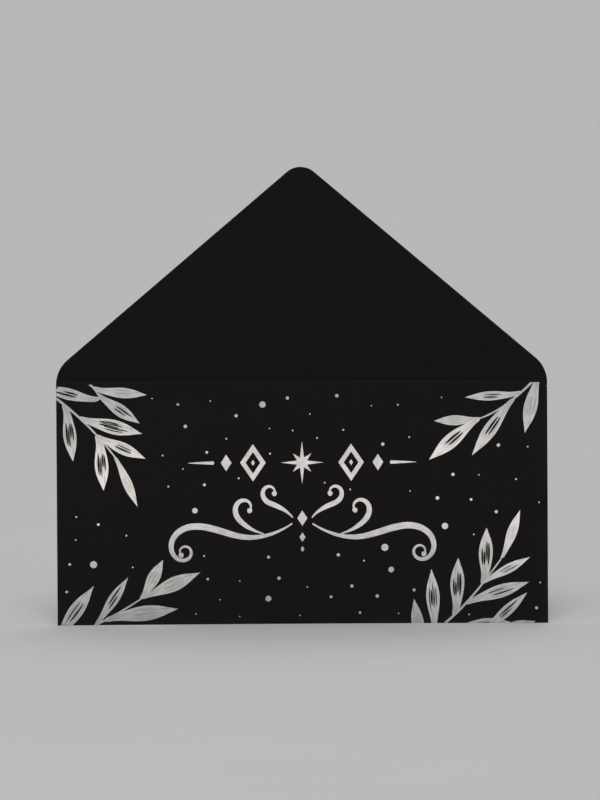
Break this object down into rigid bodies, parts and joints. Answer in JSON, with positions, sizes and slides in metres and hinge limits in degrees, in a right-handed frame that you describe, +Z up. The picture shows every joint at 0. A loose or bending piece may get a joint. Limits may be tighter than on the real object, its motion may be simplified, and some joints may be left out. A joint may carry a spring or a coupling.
{
  "type": "money envelope",
  "caption": "Flat black card envelope for banknotes: printed front panel, back panel glued to side tabs, and a pointed flap that folds back over the pocket.",
  "frame": {"origin": "on the surface that the envelope stands on, under the middle of its bottom fold, halfway through its folded thickness", "axes": "+Z up, the printed front panel faces -Y, and +X is to the right as the front is seen"},
  "size_m": [0.165, 0.002, 0.1541],
  "materials": {
    "black_card": "matte",
    "dry_glue": "satin"
  },
  "bodies": {
    "pocket": {"front_panel": "black_card", "bottom_fold": "black_card", "back_panel": "black_card", "left_side_fold": "black_card", "right_side_fold": "black_card", "left_glue_tab": "black_card", "right_glue_tab": "black_card", "left_glue_line": "dry_glue", "right_glue_line": "dry_glue", "flap_crease": "black_card"},
    "flap": {"closure_flap": "black_card"}
  },
  "joints": [
    {"name": "flap_fold", "type": "hinge", "parent": "pocket", "child": "flap", "pos_m": [0, 0.00032, 0.082], "axis": [-1, 0, 0], "range_deg": [0, 179.8], "deforming": ["flap_crease"]}
  ]
}
